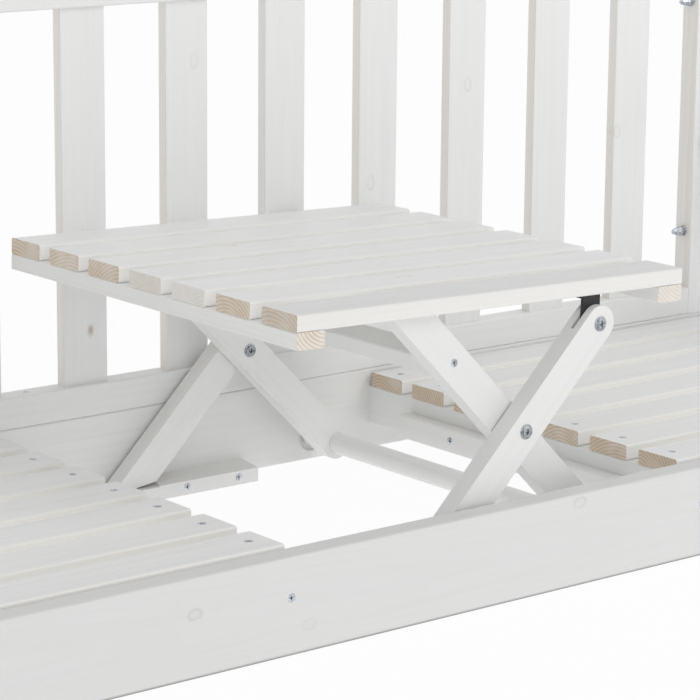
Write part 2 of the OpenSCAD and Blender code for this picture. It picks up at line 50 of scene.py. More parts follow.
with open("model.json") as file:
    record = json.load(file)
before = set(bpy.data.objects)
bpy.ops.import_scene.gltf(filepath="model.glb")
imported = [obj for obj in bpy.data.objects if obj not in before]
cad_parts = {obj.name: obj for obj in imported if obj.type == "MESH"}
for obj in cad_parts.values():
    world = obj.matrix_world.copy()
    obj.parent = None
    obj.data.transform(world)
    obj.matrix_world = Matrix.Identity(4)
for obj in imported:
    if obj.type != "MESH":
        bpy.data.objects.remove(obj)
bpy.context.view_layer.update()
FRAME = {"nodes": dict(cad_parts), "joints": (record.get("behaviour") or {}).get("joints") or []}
PINE_GROUP = "Glazed pine"

ALONG_X = Vector((1, 0, 0))
ALONG_Y = Vector((0, 1, 0))
ALONG_Z = Vector((0, 0, 1))
WELD = 1e-5  # points closer than this are one corner
LEVEL = 1e-6  # heights closer than this are level
SLATS_PER_SEAT = 7
BACK_SLAT_PITCH = 0.120
BACK_SLAT_WIDTH = 0.050
BOLT_THREAD_PITCH = 0.00125

FLOOR_SIZE = 40
SENSOR_WIDTH = 36  # millimetres
LOOK_AT = Vector((0, 0, 0.25))
FRONT_LAMP, FRONT_LAMP_SIZE = (1.6, -2.6, 2.3), 1.6
LEFT_LAMP, LEFT_LAMP_SIZE = (-4.2, -1.6, 1.4), 2.4

# How often each pattern changes in a metre, along a board and across it both ways
WARP, WOBBLE = (2.4, 12, 12), (110, 170, 170)
FIBRE, STREAK, BLOTCH, PATCH = (16, 520, 520), (1.8, 70, 70), (5, 17, 17), (28, 60, 60)
GREY, GREY_SEED = (3.2, 230, 230), 31.0
SEED_STEP = 7.3  # from one board of a row to the next
GLAZE_RELIEF, METAL_RELIEF = 0.0003, 0.0001  # metres
KNOT_STRETCH, LOOSE_KNOT_STRETCH = 0.62, 0.6  # a knot's width in its length
LOOSE_KNOT_SPACE = (0.80, 0.120)  # metres along and across that hold one knot

# Least and most: where the pith lies beside and under a board's middle, and how it runs askew
PITH_SIDE, PITH_DEPTH, PITH_LEAN = (-0.030, 0.030), (0.012, 0.057), (-0.025, 0.025)

# Metres: how far the rings warp, a knot pushes them aside, and outlines of knots waver
RING_WARP, KNOT_REACH, KNOT_BULGE = 0.010, 0.020, 0.005
KNOT_WAVER, DARK_KNOT_WAVER, DARK_KNOT_CORE = 0.0036, 0.0050, 0.0020
EDGE_WORN, EDGE_WHOLE, EDGE_WAVER = 0.0010, 0.0022, 0.0022

NO_KNOT = 1.0  # a distance that no board reaches
BLACK, WHITE = (0, 0, 0, 1), (1, 1, 1, 1)
# Painted shade: a dark line along the bottom edge of a board that stands on the ground, in place of the
# shade under its rounded lower edge
FOOT_SHADE = (0.200, 0.195, 0.190, 1)
FOOT_SHADE_FROM, FOOT_SHADE_TO = 0.0006, 0.0034  # heights over the ground
RUBBED_PAINT = (0.11, 0.11, 0.12, 1)
# Painted shade: the front legs are darker than the rear ones because of how the light falls on them
LEG_PAINTED_SHADE = {"front": 0.92, "rear": 1.0}
TABLE_ENDS = (0.75, 0.80, 0.28, 0.45, 0.85, 0.75, 0.85)  # how bare the slats' ends are, front to rear
SLAT_GLAZE = {"sides": 0.0, "cream": 0.9, "grey": 0.34}  # grey streaks all over, and painted light that brightens the narrow sides
RECESS_SLOT = 1  # material slot of the faces in a cross recess, which take the painted shade

# Knots that show in the white: along the board and across it, from its middle
APRON_KNOTS = ((-0.3346, 0.0117), (-0.2185, -0.0195), (0.0832, 0.0340))
BACK_KNOTS = ((0.123, 0.009), (0.074, 0.361), (-0.018, 0.231), (0.006, 0.580))
BACK_DARK_KNOTS = ((-0.129, -0.114),)

BOARD_SOCKETS = (
    "Place", "Half Size", "Seed", "End Grain", "Narrow Side", "Bare Sides", "Bare Ends", "Cream Sides",
    "Greyness", "End Rings", "Bare Edges", "Knot Distance", "Dark Distance", "Loose Knots",
)

Pin = namedtuple("Pin", "head out length head_radius tip_radius head_height")


# ---- settings ----


class PineSettings(bpy.types.PropertyGroup):
    """Wood and glaze."""

    glaze: FloatVectorProperty(
        name="Glaze", description="Colour of the white glaze", subtype="COLOR",
        size=4, min=0, max=1, default=(0.866, 0.872, 0.867, 1),
    )
    shade: FloatVectorProperty(
        name="Shade", description="Colour of the thin grey streaks in the glaze", subtype="COLOR",
        size=4, min=0, max=1, default=(0.700, 0.725, 0.755, 1),
    )
    # Painted light: a pale cream that brightens the slats' narrow sides, for the light they catch
    cream: FloatVectorProperty(
        name="Cream", description="Colour of the thick glaze that gathers on slats' narrow sides",
        subtype="COLOR", size=4, min=0, max=1, default=(0.925, 0.914, 0.885, 1),
    )
    early_wood: FloatVectorProperty(
        name="Early wood", description="Pale part of a growth ring", subtype="COLOR",
        size=4, min=0, max=1, default=(0.670, 0.545, 0.385, 1),
    )
    late_wood: FloatVectorProperty(
        name="Late wood", description="Dark part of a growth ring", subtype="COLOR",
        size=4, min=0, max=1, default=(0.440, 0.260, 0.140, 1),
    )
    knot: FloatVectorProperty(
        name="Knot", description="Colour of knots", subtype="COLOR",
        size=4, min=0, max=1, default=(0.330, 0.190, 0.120, 1),
    )
    ring_width: FloatProperty(
        name="Ring width", description="Width of a growth ring", subtype="DISTANCE",
        unit="LENGTH", min=0.001, max=0.01, default=0.0034,
    )
    bare: FloatProperty(
        name="Bare wood", description="How much wood shows through the glaze",
        subtype="FACTOR", min=0, max=1, default=0.020,
    )
    knot_radius: FloatProperty(
        name="Knot radius", description="Radius of a knot's core", subtype="DISTANCE",
        unit="LENGTH", min=0.001, max=0.02, default=0.0042,
    )
    roughness: FloatProperty(
        name="Roughness", description="Roughness of the dry glaze", subtype="FACTOR",
        min=0, max=1, default=0.44,
    )


class FastenerSettings(bpy.types.PropertyGroup):
    """Screws, bolts, nuts and plates."""

    zinc: FloatVectorProperty(
        name="Zinc", description="Colour of the zinc plating", subtype="COLOR",
        size=4, min=0, max=1, default=(0.700, 0.745, 0.800, 1),
    )
    paint: FloatVectorProperty(
        name="Plate paint", description="Colour of the hinge plates", subtype="COLOR",
        size=4, min=0, max=1, default=(0.012, 0.012, 0.014, 1),
    )
    # Painted shade: the dark colour on the faces deep in a cross recess
    recess: FloatVectorProperty(
        name="Recess", description="Colour of the metal deep in a cross recess", subtype="COLOR",
        size=4, min=0, max=1, default=(0.060, 0.100, 0.145, 1),
    )
    sides: IntProperty(
        name="Sides", description="Sides of a screw's head", min=12, max=48, default=20,
    )
    recess_width: FloatProperty(
        name="Recess width", description="Width of a cross recess in a head of 8 mm",
        subtype="DISTANCE", unit="LENGTH", min=0.002, max=0.006, default=0.0050,
    )
    washer_thickness: FloatProperty(
        name="Washer", description="Thickness of the washers under the bolt heads",
        subtype="DISTANCE", unit="LENGTH", min=0.0004, max=0.0015, default=0.0008,
    )
    dome_width: FloatProperty(
        name="Dome width", description="Width of the bolts' domed heads",
        subtype="DISTANCE", unit="LENGTH", min=0.006, max=0.012, default=0.0094,
    )
    dome_height: FloatProperty(
        name="Dome height", description="Height of the bolts' domed heads",
        subtype="DISTANCE", unit="LENGTH", min=0.001, max=0.0018, default=0.0016,
    )
    thread_pitch: FloatProperty(
        name="Thread pitch", description="Distance between two turns of a thread",
        subtype="DISTANCE", unit="LENGTH", min=0.001, max=0.006, default=0.0030,
    )


class StudioSettings(bpy.types.PropertyGroup):
    """Camera, floor and light."""

    camera_place: FloatVectorProperty(
        name="Camera place", description="Where the camera stands", subtype="TRANSLATION",
        unit="LENGTH", size=3, default=(-1.59404, -2.00222, 0.75407),
    )
    azimuth: FloatProperty(
        name="Azimuth", description="Turn of the camera to the seat's left",
        subtype="ANGLE", unit="ROTATION", default=math.radians(-38.733),
    )
    elevation: FloatProperty(
        name="Elevation", description="How far the camera looks down",
        subtype="ANGLE", unit="ROTATION", default=math.radians(12.573),
    )
    roll: FloatProperty(
        name="Roll", description="Tilt of the camera about its own axis",
        subtype="ANGLE", unit="ROTATION", default=math.radians(0.527),
    )
    lens: FloatProperty(
        name="Lens", description="Focal length of the lens in millimetres",
        min=20, max=400, default=146.35,
    )
    floor_colour: FloatVectorProperty(
        name="Floor", description="Colour of the floor", subtype="COLOR",
        size=4, min=0, max=1, default=(0.95, 0.95, 0.95, 1),
    )
    floor_white: FloatProperty(
        name="Floor white", description="How much of the floor is plain white to the camera",
        subtype="FACTOR", min=0, max=1, default=0.94,
    )
    floor_glow: FloatProperty(
        name="Floor glow", description="Soft light that the floor sends up, as a light table does",
        min=0, max=1, default=0.38,
    )
    front_power: FloatProperty(
        name="Front lamp", description="Power of the large lamp at the front right",
        subtype="POWER", unit="POWER", min=0, default=23,
    )
    left_power: FloatProperty(
        name="Left lamp", description="Power of the lamp at the left",
        subtype="POWER", unit="POWER", min=0, default=3,
    )
    horizon_light: FloatProperty(
        name="Horizon light", description="Strength of the soft light from the sides",
        min=0, max=2, default=0.68,
    )
    zenith_light: FloatProperty(
        name="Zenith light", description="Strength of the soft light from straight above",
        min=0, max=2, default=0.69,
    )


# ---- shader nodes ----


def add_node(tree, kind, **values):
    """Adds a node; values named as its sockets go there, and the others are its own settings."""
    made = tree.nodes.new(kind)
    for name, value in values.items():
        title = name.replace("_", " ").title()
        if title in made.inputs:
            connect(tree, value, made.inputs[title])
        else:
            setattr(made, name, value)
    return made


def connect(tree, value, socket):
    """Links a socket to another, or gives it a plain value."""
    if isinstance(value, bpy.types.NodeSocket):
        tree.links.new(value, socket)
    else:
        socket.default_value = value


def calculate(tree, operation, first, second=0.0, third=0.0, clamp=False):
    """A Math node's result."""
    made = add_node(tree, "ShaderNodeMath", operation=operation, use_clamp=clamp)
    for socket, value in zip(made.inputs, (first, second, third)):
        connect(tree, value, socket)
    return made.outputs[0]


def product(tree, *factors):
    """All the factors times each other."""
    result, *others = factors
    for factor in others:
        result = calculate(tree, "MULTIPLY", result, factor)
    return result


def calculate_vector(tree, operation, first, second=(0, 0, 0), output="Vector"):
    """A Vector Math node's result."""
    made = add_node(tree, "ShaderNodeVectorMath", operation=operation)
    connect(tree, first, made.inputs[0])
    connect(tree, second, made.inputs[1])
    return made.outputs[output]


def smooth_range(tree, value, low, high, start=0.0, end=1.0):
    """Start where the value is low, end where it is high, and a smooth change between."""
    made = add_node(tree, "ShaderNodeMapRange", interpolation_type="SMOOTHSTEP", value=value,
                    from_min=low, from_max=high, to_min=start, to_max=end)
    return made.outputs[0]


def noise(tree, place, stretch, seed, detail=2.0, output="Fac"):
    """Noise that is stretched by a scale for each direction and differs with the seed."""
    scaled = calculate_vector(tree, "MULTIPLY", place, stretch)
    made = add_node(tree, "ShaderNodeTexNoise", noise_dimensions="4D", vector=scaled, w=seed,
                    scale=1.0, detail=detail)
    return made.outputs[output]


def mix_colours(tree, amount, first, second):
    """A Mix node's colour."""
    made = add_node(tree, "ShaderNodeMix", data_type="RGBA", clamp_factor=True, factor=amount)
    colours = [socket for socket in made.inputs if socket.type == "RGBA"]
    connect(tree, first, colours[0])
    connect(tree, second, colours[1])
    return [socket for socket in made.outputs if socket.type == "RGBA"][0]


def new_material(name):
    """A new material, its nodes and its shader."""
    material = bpy.data.materials.new(name)
    material.use_nodes = True
    tree = material.node_tree
    return material, tree, tree.nodes["Principled BSDF"]


def object_place(tree):
    """Object coordinates of a surface."""
    return tree.nodes.new("ShaderNodeTexCoord").outputs["Object"]


def set_shader(tree, shader, colour, roughness, metallic=0.0):
    """Gives the shader its colour, roughness and metal."""
    connect(tree, colour, shader.inputs["Base Color"])
    connect(tree, roughness, shader.inputs["Roughness"])
    shader.inputs["Metallic"].default_value = metallic


def set_bump(tree, shader, height, strength, distance):
    """Bends the shader's normal by a height."""
    bump = add_node(tree, "ShaderNodeBump", height=height, strength=strength, distance=distance)
    connect(tree, bump.outputs[0], shader.inputs["Normal"])


def set_materials(piece, *materials):
    """Gives a piece these materials and no others."""
    piece.data.materials.clear()
    for material in materials:
        piece.data.materials.append(material)


# ---- glazed pine ----


def growth_rings(tree, place, seed, knots, settings):
    """Share of late wood: rings round a pith that runs a little askew under the board."""
    chance = add_node(tree, "ShaderNodeTexWhiteNoise", noise_dimensions="1D", w=seed)
    chances = add_node(tree, "ShaderNodeSeparateColor", color=chance.outputs["Color"])
    axes = add_node(tree, "ShaderNodeSeparateXYZ", vector=place)
    warp = calculate_vector(
        tree, "SUBTRACT", noise(tree, place, WARP, seed, 2, "Color"), (0.5, 0.5, 0.5))
    warps = add_node(tree, "ShaderNodeSeparateXYZ", vector=warp)
    pith_side, pith_depth, lean = (
        calculate(tree, "MULTIPLY_ADD", draw, most - least, least)
        for draw, (least, most) in zip(chances.outputs, (PITH_SIDE, PITH_DEPTH, PITH_LEAN)))
    drift = product(tree, axes.outputs[0], lean)
    side = calculate(tree, "SUBTRACT", axes.outputs[1], pith_side)
    depth = calculate(tree, "ADD", axes.outputs[2], pith_depth)
    side, depth = (
        calculate(tree, "MULTIPLY_ADD", bend, RING_WARP, calculate(tree, "ADD", way, drift))
        for bend, way in zip(warps.outputs, (side, depth)))
    radius = calculate(tree, "SQRT", calculate(
        tree, "ADD", product(tree, side, side), product(tree, depth, depth)))
    bulge = smooth_range(tree, knots, 0.0, KNOT_REACH, KNOT_BULGE, 0.0)
    radius = calculate(tree, "ADD", radius, bulge)
    rings = calculate(tree, "FRACT", calculate(tree, "DIVIDE", radius, settings.ring_width))
    rise = smooth_range(tree, rings, 0.35, 0.86)
    fall = smooth_range(tree, rings, 0.88, 1.0, 1.0, 0.0)
    return product(tree, rise, fall)


def loose_knots(tree, place, seed, amount):
    """Distance to the nearest of some knots that are scattered along a board."""
    along, across = LOOSE_KNOT_SPACE
    flat = calculate_vector(tree, "MULTIPLY", place, (1 / along, 1 / across, 0))
    cells = add_node(
        tree, "ShaderNodeTexVoronoi", voronoi_dimensions="4D", vector=flat, w=seed, scale=1.0)
    away = calculate_vector(tree, "SUBTRACT", flat, cells.outputs["Position"])
    away = calculate_vector(tree, "MULTIPLY", away, (along * LOOSE_KNOT_STRETCH, across, 0))
    distance = calculate_vector(tree, "LENGTH", away, output="Value")
    return calculate(tree, "MULTIPLY_ADD", calculate(tree, "SUBTRACT", 1.0, amount), NO_KNOT, distance)


def arris_distance(tree, place, half_size):
    """Distance to the nearest edge of a board that fills the half size both ways."""
    inside = calculate_vector(tree, "SUBTRACT", half_size, calculate_vector(tree, "ABSOLUTE", place))
    axes = add_node(tree, "ShaderNodeSeparateXYZ", vector=inside)
    far_side = calculate(tree, "MAXIMUM", axes.outputs[1], axes.outputs[2])
    near_side = calculate(tree, "MINIMUM", axes.outputs[1], axes.outputs[2])
    at_end = calculate(tree, "MAXIMUM", axes.outputs[0], near_side)
    return calculate(tree, "MINIMUM", far_side, at_end)


def pine_group():
    """The node group that gives every board its rings, fibres, knots, worn edges and glaze."""
    if PINE_GROUP in bpy.data.node_groups:
        return bpy.data.node_groups[PINE_GROUP]
    settings = bpy.context.scene.swing_pine
    tree = bpy.data.node_groups.new(PINE_GROUP, "ShaderNodeTree")
    for name in BOARD_SOCKETS:
        kind = "NodeSocketVector" if name in ("Place", "Half Size") else "NodeSocketFloat"
        tree.interface.new_socket(name=name, in_out="INPUT", socket_type=kind)
    for name in ("Colour", "Roughness", "Height"):
        kind = "NodeSocketColor" if name == "Colour" else "NodeSocketFloat"
        tree.interface.new_socket(name=name, in_out="OUTPUT", socket_type=kind)
    given = tree.nodes.new("NodeGroupInput").outputs
    result = tree.nodes.new("NodeGroupOutput").inputs
    place, seed, sawn = given["Place"], given["Seed"], given["End Grain"]

    knots = calculate(tree, "MINIMUM", given["Knot Distance"],
                      loose_knots(tree, place, seed, given["Loose Knots"]))
    wobble = noise(tree, place, WOBBLE, seed)
    knots = calculate(tree, "MULTIPLY_ADD", wobble, KNOT_WAVER, knots)
    knots = calculate(tree, "ADD", knots, -KNOT_WAVER / 2)
    eyes = calculate(tree, "MULTIPLY_ADD", wobble, DARK_KNOT_WAVER, given["Dark Distance"])
    late = growth_rings(tree, place, seed, calculate(tree, "MINIMUM", knots, eyes), settings)
    fibre = noise(tree, place, FIBRE, seed, 3)
    streak = noise(tree, place, STREAK, seed, 3)
    blotch = noise(tree, place, BLOTCH, seed, 2)
    patch = noise(tree, place, PATCH, seed, 4)
    grey = noise(tree, place, GREY, calculate(tree, "ADD", seed, GREY_SEED), 4)

    radius = settings.knot_radius
    core = smooth_range(tree, knots, radius * 0.75, radius * 1.05, 1.0, 0.0)
    rim = product(tree, smooth_range(tree, knots, radius * 0.7, radius),
                  smooth_range(tree, knots, radius, radius * 1.5, 1.0, 0.0),
                  smooth_range(tree, patch, 0.34, 0.58, 0.25, 1.0))

    edge = arris_distance(tree, place, given["Half Size"])
    edge = calculate(tree, "MULTIPLY_ADD", patch, EDGE_WAVER, edge)
    worn = product(
        tree, smooth_range(tree, edge, EDGE_WORN, EDGE_WHOLE, 1.0, 0.0), given["Bare Edges"])
    end = smooth_range(tree, sawn, 0.35, 0.65)
    plain = calculate(tree, "SUBTRACT", 1.0, given["End Rings"])
    raw_end = product(tree, end, given["Bare Ends"], smooth_range(tree, patch, 0.30, 0.62, 0.72, 1.0),
                      calculate(tree, "MULTIPLY_ADD", late, given["End Rings"], plain))
    narrow = smooth_range(tree, given["Narrow Side"], 0.35, 0.80)
    thin = product(tree, narrow, given["Bare Sides"])
    # Painted light: the share of pale cream that brightens the slats' narrow sides
    thick = product(tree, narrow, given["Cream Sides"])

    bare = settings.bare
    for share, strength in ((late, 0.008), (smooth_range(tree, fibre, 0.40, 0.75), 0.018),
                            (smooth_range(tree, streak, 0.45, 0.80), 0.026),
                            (smooth_range(tree, blotch, 0.45, 0.85), 0.028), (core, 0.015), (rim, 0.16)):
        bare = calculate(tree, "MULTIPLY_ADD", share, strength, bare)
    eye = smooth_range(tree, eyes, DARK_KNOT_CORE, radius * 2.0, 0.55, 0.0)
    bare = calculate(tree, "ADD", bare, eye)
    bare = calculate(tree, "MULTIPLY_ADD", calculate(tree, "MULTIPLY_ADD", streak, 0.8, 0.6), thin, bare)
    bare = calculate(tree, "MAXIMUM", bare, worn)
    bare = calculate(tree, "MAXIMUM", bare, raw_end, clamp=True)

    rings = tuple(settings.early_wood)
    for share, strength in ((late, 0.6), (fibre, 0.30)):
        share = product(tree, share, strength)
        rings = mix_colours(tree, share, rings, tuple(settings.late_wood))
    knot_share = calculate(tree, "MAXIMUM", calculate(tree, "MAXIMUM", core, rim),
                           calculate(tree, "MULTIPLY", eye, 2.2, clamp=True))
    wood = mix_colours(tree, knot_share, rings, tuple(settings.knot))
    grey = product(tree, smooth_range(tree, grey, 0.36, 0.78), given["Greyness"])
    cover = mix_colours(tree, grey, tuple(settings.glaze), tuple(settings.shade))
    cover = mix_colours(tree, thick, cover, tuple(settings.cream))
    colour = mix_colours(tree, bare, cover, wood)
    connect(tree, colour, result["Colour"])

    rough = calculate(tree, "MULTIPLY_ADD", bare, 0.25, settings.roughness)
    rough = calculate(tree, "MULTIPLY_ADD", fibre, 0.14, rough, clamp=True)
    connect(tree, rough, result["Roughness"])
    height = calculate(tree, "MULTIPLY_ADD", late, 0.5, fibre)
    height = calculate(tree, "MULTIPLY_ADD", patch, product(tree, end, 1.6), height)
    height = calculate(tree, "SUBTRACT", height, product(tree, core, 0.8))
    connect(tree, height, result["Height"])
    return tree


def reach(points, direction):
    """Lowest and highest place of some points in a direction."""
    along = points @ np.array(direction)
    return float(along.min()), float(along.max())


def node_points(name):
    """The corners of a CAD node's mesh."""
    mesh = FRAME["nodes"][name].data
    points = np.zeros(len(mesh.vertices) * 3)
    mesh.vertices.foreach_get("co", points)
    return points.reshape(-1, 3)


def seed_of(name):
    """A number that differs from board to board and is the same at each run."""
    return sum((place + 1) * letter for place, letter in enumerate(name.encode())) * 0.37 % 97.0


def knot_distance(tree, place, knots):
    """Distance to the nearest knot of a list, each given along and across the board."""
    nearest = NO_KNOT
    for along, across in knots:
        away = calculate_vector(tree, "SUBTRACT", place, (along, across, 0))
        away = calculate_vector(tree, "MULTIPLY", away, (KNOT_STRETCH, 1, 0))
        away = calculate_vector(tree, "LENGTH", away, output="Value")
        nearest = calculate(tree, "MINIMUM", away, nearest)
    return nearest


def repeat_across(tree, place, pitch):
    """Place and number of the board in a row of boards that stand side by side."""
    axes = add_node(tree, "ShaderNodeSeparateXYZ", vector=place)
    number = calculate(tree, "ROUND", calculate(tree, "DIVIDE", axes.outputs[1], pitch))
    across = calculate(tree, "MULTIPLY_ADD", number, -pitch, axes.outputs[1])
    single = add_node(tree, "ShaderNodeCombineXYZ", x=axes.outputs[0], y=across, z=axes.outputs[2])
    return single.outputs[0], number


def glaze(name, grain, across, ends=0.35, end_rings=0.6, edges=0.12, sides=0.04, cream=0.0,
          grey=0.16, loose=1.0, knots=(), dark_knots=(), pitch=None, width=None, foot_shade=0.0, painted_shade_factor=1.0):
    """Gives a CAD board its own glazed pine, with the grain along it, and the painted shade that is
    asked for.
    """
    board = FRAME["nodes"][name]
    through = grain.cross(across)
    points = node_points(name)
    spans = [reach(points, direction) for direction in (grain, across, through)]
    middle = sum(((low + high) / 2 * way for (low, high), way in zip(spans, (grain, across, through))),
                 Vector())
    half = [(high - low) / 2 for low, high in spans]
    if width:
        half[1] = width / 2
    material, tree, shader = new_material("glazed_pine_" + name)
    surface = tree.nodes.new("ShaderNodeTexCoord")
    turn = Matrix((grain, across, through)).transposed().to_euler()
    placed = add_node(tree, "ShaderNodeMapping", vector_type="TEXTURE", vector=surface.outputs["Object"],
                      location=middle, rotation=turn)
    place, seed = placed.outputs[0], seed_of(name)
    nearest = knot_distance(tree, place, knots)
    nearest_dark = knot_distance(tree, place, dark_knots)
    if pitch:
        place, number = repeat_across(tree, place, pitch)
        seed = calculate(tree, "MULTIPLY_ADD", number, SEED_STEP, seed)
    end_grain, narrow_side = (
        calculate(tree, "ABSOLUTE", calculate_vector(
            tree, "DOT_PRODUCT", surface.outputs["Normal"], way, "Value")) for way in (grain, across))
    pine = add_node(tree, "ShaderNodeGroup", node_tree=pine_group())
    values = (place, half, seed, end_grain, narrow_side, sides, ends, cream, grey, end_rings, edges,
              nearest, nearest_dark, loose)
    for socket, value in zip(BOARD_SOCKETS, values):
        connect(tree, value, pine.inputs[socket])
    # Painted shade: a factor below one darkens the colour where the board must look less lit
    colour = mix_colours(tree, painted_shade_factor, BLACK, pine.outputs["Colour"])
    # Painted shade: the colour darkens towards the board's bottom edge, as the shade there would
    if foot_shade:
        height = add_node(tree, "ShaderNodeSeparateXYZ", vector=surface.outputs["Object"]).outputs[2]
        painted_foot_shade = smooth_range(tree, height, FOOT_SHADE_FROM, FOOT_SHADE_TO, foot_shade, 0.0)
        colour = mix_colours(tree, painted_foot_shade, colour, FOOT_SHADE)
    set_shader(tree, shader, colour, pine.outputs["Roughness"])
    set_bump(tree, shader, pine.outputs["Height"], 0.18, GLAZE_RELIEF)
    set_materials(board, material)


# ---- metal and paint ----


def darker(colour, share):
    """The colour with its channels times a share."""
    return [channel * share for channel in colour[:3]] + [1]


def zinc(name, dark=1.0):
    """Zinc plating: bluish, a little cloudy, duller in places."""
    plating = bpy.context.scene.swing_fasteners.zinc
    material, tree, shader = new_material(name)
    place = object_place(tree)
    cloud = noise(tree, place, (420, 420, 420), 3.0, 3)
    colour = mix_colours(tree, smooth_range(tree, cloud, 0.35, 0.70), darker(plating, dark),
                         darker(plating, dark * 0.45))
    scratch = noise(tree, place, (2600, 700, 900), 5.0, 2)
    roughness = smooth_range(tree, scratch, 0.30, 0.75, 0.22, 0.42)
    set_shader(tree, shader, colour, roughness, metallic=1.0)
    set_bump(tree, shader, scratch, 0.10, METAL_RELIEF)
    return material


def painted_recess_shade(name):
    """Painted shade: a dark metal colour on the faces deep in a cross recess, darker in places."""
    recess = bpy.context.scene.swing_fasteners.recess
    material, tree, shader = new_material(name)
    cloud = noise(tree, object_place(tree), (900, 900, 900), 4.0, 2)
    colour = mix_colours(tree, cloud, tuple(recess), darker(recess, 0.5))
    roughness = smooth_range(tree, cloud, 0.30, 0.70, 0.45, 0.65)
    set_shader(tree, shader, colour, roughness, metallic=1.0)
    return material


def plate_paint(name):
    """Satin black paint with a fine orange-peel surface and a few rubbed spots."""
    paint = bpy.context.scene.swing_fasteners.paint
    material, tree, shader = new_material(name)
    place = object_place(tree)
    peel = noise(tree, place, (900, 900, 900), 1.0, 2)
    rubbed = smooth_range(tree, noise(tree, place, (190, 190, 190), 8.0, 4), 0.66, 0.74)
    colour = mix_colours(tree, rubbed, tuple(paint), RUBBED_PAINT)
    set_shader(tree, shader, colour, smooth_range(tree, peel, 0.25, 0.75, 0.36, 0.52))
    set_bump(tree, shader, peel, 0.15, METAL_RELIEF)
    return material


# ---- modelling by hand ----


def deselect():
    """Leaves edit mode and deselects every object."""
    if bpy.context.object and bpy.context.object.mode != "OBJECT":
        bpy.ops.object.mode_set(mode="OBJECT")
    bpy.ops.object.select_all(action="DESELECT")


def activate(*pieces):
    """Selects these pieces alone and makes the first one active."""
    deselect()
    for piece in pieces:
        piece.select_set(True)
    bpy.context.view_layer.objects.active = pieces[0]


def pick(piece, kind, wanted):
    """Selects the wanted faces or edges of the piece in edit mode and nothing else."""
    mesh = bmesh.from_edit_mesh(piece.data)
    for part in (*mesh.verts, *mesh.edges, *mesh.faces):
        part.select = False
    for part in getattr(mesh, kind):
        if wanted(part):
            part.select_set(True)
    bmesh.update_edit_mesh(piece.data)


def is_level(edge):
    """Whether both ends of an edge are at one height."""
    return abs(edge.verts[0].co.z - edge.verts[1].co.z) < LEVEL


def from_axis(edge):
    """Distance from Z to the nearer end of an edge."""
    return min(end.co.xy.length for end in edge.verts)


def bevel_edges(piece, wanted, offset):
    """Bevels the wanted edges of the piece and leaves edit mode."""
    bpy.ops.mesh.select_mode(type="EDGE")
    pick(piece, "edges", wanted)
    bpy.ops.mesh.bevel(offset=offset, segments=2, affect="EDGES")
    bpy.ops.object.mode_set(mode="OBJECT")


def round_bar(name, sides, radius, top, bottom):
    """A round bar upright about Z, active and in edit mode."""
    deselect()
    bpy.ops.mesh.primitive_cylinder_add(
        vertices=sides, radius=radius, depth=top - bottom, location=(0, 0, (top + bottom) / 2))
    piece = bpy.context.object
    piece.name = name
    bpy.ops.object.transform_apply()
    bpy.ops.object.mode_set(mode="EDIT")
    bpy.ops.mesh.select_mode(type="FACE")
    return piece


def pick_cap(piece, level, up):
    """Selects the flat face at a height that looks up or down."""
    pick(piece, "faces", lambda face: (
        abs(face.calc_center_median().z - level) < LEVEL and face.normal.z * up > 0.9))


def grow(rise, factor, level):
    """Extrudes the picked cap by a rise from its level and sizes the new one."""
    bpy.ops.mesh.extrude_region_move(TRANSFORM_OT_translate={"value": (0, 0, rise)})
    if factor != 1.0:
        bpy.ops.transform.resize(value=(factor, factor, 1), center_override=(0, 0, level + rise))
    return level + rise


def add_thread(level, end, crest, core, pitch):
    """Extrudes the picked lower cap, now as wide as the crest, down in ridges to the end."""
    turns = max(1, int((level - end) / pitch))
    step = (level - end) / turns
    for _ in range(turns):
        level = grow(-step * 0.35, core / crest, level)
        level = grow(-step * 0.15, 1.0, level)
        level = grow(-step * 0.35, crest / core, level)
        level = grow(-step * 0.15, 1.0, level)
    return level


def combine(piece, other, operation):
    """Joins the other solid to the piece or takes it away, and deletes the other."""
    activate(piece)
    change = piece.modifiers.new(operation.lower(), "BOOLEAN")
    change.operation = operation
    change.solver = "EXACT"
    change.use_self = operation == "DIFFERENCE"
    change.object = other
    bpy.ops.object.modifier_apply(modifier=change.name)
    bpy.data.objects.remove(other)


def cut_cross_recess(piece, width, top, depth):
    """Cuts a tapering cross into the top of a head."""
    deselect()
    blade = width * 0.24
    bpy.ops.mesh.primitive_cube_add(size=1, location=(0, 0, top - depth / 2 + depth * 0.25),
                                    scale=(width, blade, depth * 1.5))
    cutter = bpy.context.object
    bpy.ops.object.transform_apply()
    bpy.ops.object.mode_set(mode="EDIT")
    bpy.ops.mesh.select_mode(type="FACE")
    pick(cutter, "faces", lambda face: face.normal.z < -0.9)
    bpy.ops.transform.resize(value=(0.45, 0.6, 1), center_override=(0, 0, top - depth))
    bpy.ops.mesh.select_all(action="SELECT")
    bpy.ops.mesh.duplicate()
    bpy.ops.transform.rotate(value=math.pi / 2, orient_axis="Z", center_override=(0, 0, top))
    bpy.ops.object.mode_set(mode="OBJECT")
    combine(piece, cutter, "DIFFERENCE")
    # The faces deep in the recess take the painted shade
    for face in piece.data.polygons:
        middle = face.center
        deep = top - depth * 1.01 < middle.z < top - depth * 0.02
        if deep and middle.xy.length < width * 0.55:
            face.material_index = RECESS_SLOT


def smooth(piece, angle=math.radians(35)):
    """Smooth shading that keeps the sharp edges."""
    activate(piece)
    bpy.ops.object.shade_smooth_by_angle(angle=angle)


